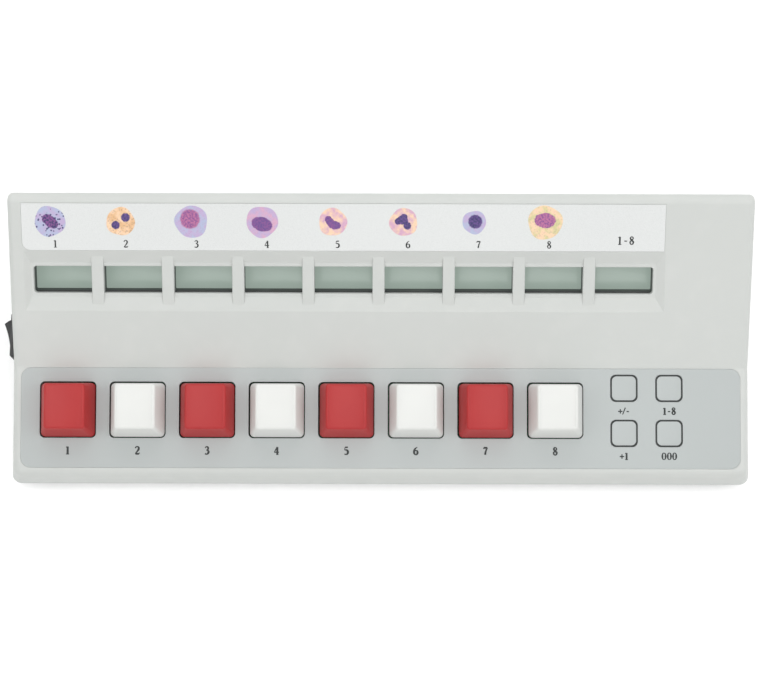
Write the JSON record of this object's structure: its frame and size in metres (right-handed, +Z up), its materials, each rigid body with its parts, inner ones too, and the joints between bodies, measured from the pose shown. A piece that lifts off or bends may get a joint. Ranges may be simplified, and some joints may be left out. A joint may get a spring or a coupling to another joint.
{
  "type": "differential cell counter",
  "caption": "Desk console for counting blood cells by kind: big square counting keys on a sloping deck, small film keys, and a row of display windows in a tilted panel behind.",
  "frame": {"origin": "on the table plane that the rubber feet stand on, under the middle of the housing's outline (the rocker on the left wall is not counted)", "axes": "+X to the user's right along the width, +Y away from the user toward the rear wall, +Z up"},
  "size_m": [0.3365, 0.124, 0.0619],
  "materials": {
    "housing_plastic": "pale grey ABS, fine spark texture",
    "deck_film": "grey screen-printed polycarbonate film, matt",
    "label_film": "white printed film, satin",
    "board_laminate": "glass-epoxy laminate with green solder mask",
    "black_plastic": "black nylon",
    "ribbon_pvc": "grey flat cable",
    "lcd_glass": "liquid-crystal cell with a grey-green reflector",
    "spring_steel": "drawn spring wire",
    "stem_plastic": "acetal",
    "red_key_plastic": "red ABS, satin",
    "white_key_plastic": "white ABS, satin",
    "foot_rubber": "black rubber",
    "screw_steel": "zinc-plated steel",
    "cell_jacket": "printed steel can, unlabelled",
    "contact_metal": "nickel-plated spring steel"
  },
  "bodies": {
    "console": {"bottom_cover": "housing_plastic", "top_cover": "housing_plastic", "deck_overlay": "deck_film", "label_strip": "label_film", "display_board": "board_laminate", "key_board": "board_laminate", "tact_switches": "black_plastic", "board_ribbon": "ribbon_pvc", "lcd_1": "lcd_glass", "lcd_2": "lcd_glass", "lcd_3": "lcd_glass", "lcd_4": "lcd_glass", "lcd_5": "lcd_glass", "lcd_6": "lcd_glass", "lcd_7": "lcd_glass", "lcd_8": "lcd_glass", "lcd_9": "lcd_glass", "switch_housing_1": "black_plastic", "switch_housing_2": "black_plastic", "switch_housing_3": "black_plastic", "switch_housing_4": "black_plastic", "switch_housing_5": "black_plastic", "switch_housing_6": "black_plastic", "switch_housing_7": "black_plastic", "switch_housing_8": "black_plastic", "rocker_frame": "black_plastic", "rubber_feet": "foot_rubber", "screws": "screw_steel", "battery_cells": "cell_jacket", "battery_contacts": "contact_metal", "key_spring_1": "spring_steel", "key_spring_2": "spring_steel", "key_spring_3": "spring_steel", "key_spring_4": "spring_steel", "key_spring_5": "spring_steel", "key_spring_6": "spring_steel", "key_spring_7": "spring_steel", "key_spring_8": "spring_steel"},
    "key_1": {"keycap_1": "red_key_plastic", "key_stem_1": "stem_plastic"},
    "key_2": {"keycap_2": "white_key_plastic", "key_stem_2": "stem_plastic"},
    "key_3": {"keycap_3": "red_key_plastic", "key_stem_3": "stem_plastic"},
    "key_4": {"keycap_4": "white_key_plastic", "key_stem_4": "stem_plastic"},
    "key_5": {"keycap_5": "red_key_plastic", "key_stem_5": "stem_plastic"},
    "key_6": {"keycap_6": "white_key_plastic", "key_stem_6": "stem_plastic"},
    "key_7": {"keycap_7": "red_key_plastic", "key_stem_7": "stem_plastic"},
    "key_8": {"keycap_8": "white_key_plastic", "key_stem_8": "stem_plastic"},
    "film_key_1": {"function_pad_1": "deck_film"},
    "film_key_2": {"function_pad_2": "deck_film"},
    "film_key_3": {"function_pad_3": "deck_film"},
    "film_key_4": {"function_pad_4": "deck_film"},
    "power_rocker": {"rocker": "black_plastic"},
    "battery_lid": {"battery_door": "housing_plastic"}
  },
  "joints": [
    {"name": "key_1_press", "type": "slide", "parent": "console", "child": "key_1", "axis": [0, -0.1564, 0.9877], "range_m": [-0.0038, 0], "stiffness_N_per_m": 90, "springref_m": 0.004, "deforming": ["key_spring_1"]},
    {"name": "key_2_press", "type": "slide", "parent": "console", "child": "key_2", "axis": [0, -0.1564, 0.9877], "range_m": [-0.0038, 0], "stiffness_N_per_m": 90, "springref_m": 0.004, "deforming": ["key_spring_2"]},
    {"name": "key_3_press", "type": "slide", "parent": "console", "child": "key_3", "axis": [0, -0.1564, 0.9877], "range_m": [-0.0038, 0], "stiffness_N_per_m": 90, "springref_m": 0.004, "deforming": ["key_spring_3"]},
    {"name": "key_4_press", "type": "slide", "parent": "console", "child": "key_4", "axis": [0, -0.1564, 0.9877], "range_m": [-0.0038, 0], "stiffness_N_per_m": 90, "springref_m": 0.004, "deforming": ["key_spring_4"]},
    {"name": "key_5_press", "type": "slide", "parent": "console", "child": "key_5", "axis": [0, -0.1564, 0.9877], "range_m": [-0.0038, 0], "stiffness_N_per_m": 90, "springref_m": 0.004, "deforming": ["key_spring_5"]},
    {"name": "key_6_press", "type": "slide", "parent": "console", "child": "key_6", "axis": [0, -0.1564, 0.9877], "range_m": [-0.0038, 0], "stiffness_N_per_m": 90, "springref_m": 0.004, "deforming": ["key_spring_6"]},
    {"name": "key_7_press", "type": "slide", "parent": "console", "child": "key_7", "axis": [0, -0.1564, 0.9877], "range_m": [-0.0038, 0], "stiffness_N_per_m": 90, "springref_m": 0.004, "deforming": ["key_spring_7"]},
    {"name": "key_8_press", "type": "slide", "parent": "console", "child": "key_8", "axis": [0, -0.1564, 0.9877], "range_m": [-0.0038, 0], "stiffness_N_per_m": 90, "springref_m": 0.004, "deforming": ["key_spring_8"]},
    {"name": "film_key_1_press", "type": "slide", "parent": "console", "child": "film_key_1", "axis": [0, -0.1564, 0.9877], "range_m": [-0.0004, 0], "stiffness_N_per_m": 1500, "springref_m": 0.0003},
    {"name": "film_key_2_press", "type": "slide", "parent": "console", "child": "film_key_2", "axis": [0, -0.1564, 0.9877], "range_m": [-0.0004, 0], "stiffness_N_per_m": 1500, "springref_m": 0.0003},
    {"name": "film_key_3_press", "type": "slide", "parent": "console", "child": "film_key_3", "axis": [0, -0.1564, 0.9877], "range_m": [-0.0004, 0], "stiffness_N_per_m": 1500, "springref_m": 0.0003},
    {"name": "film_key_4_press", "type": "slide", "parent": "console", "child": "film_key_4", "axis": [0, -0.1564, 0.9877], "range_m": [-0.0004, 0], "stiffness_N_per_m": 1500, "springref_m": 0.0003},
    {"name": "rocker_swing", "type": "hinge", "parent": "console", "child": "power_rocker", "pos_m": [-0.1645, 0.0026, 0.023], "axis": [0, 0, 1], "range_deg": [-28, 0]},
    {"name": "battery_door_slide", "type": "slide", "parent": "console", "child": "battery_lid", "axis": [0, 1, 0], "range_m": [0, 0.0434]}
  ]
}
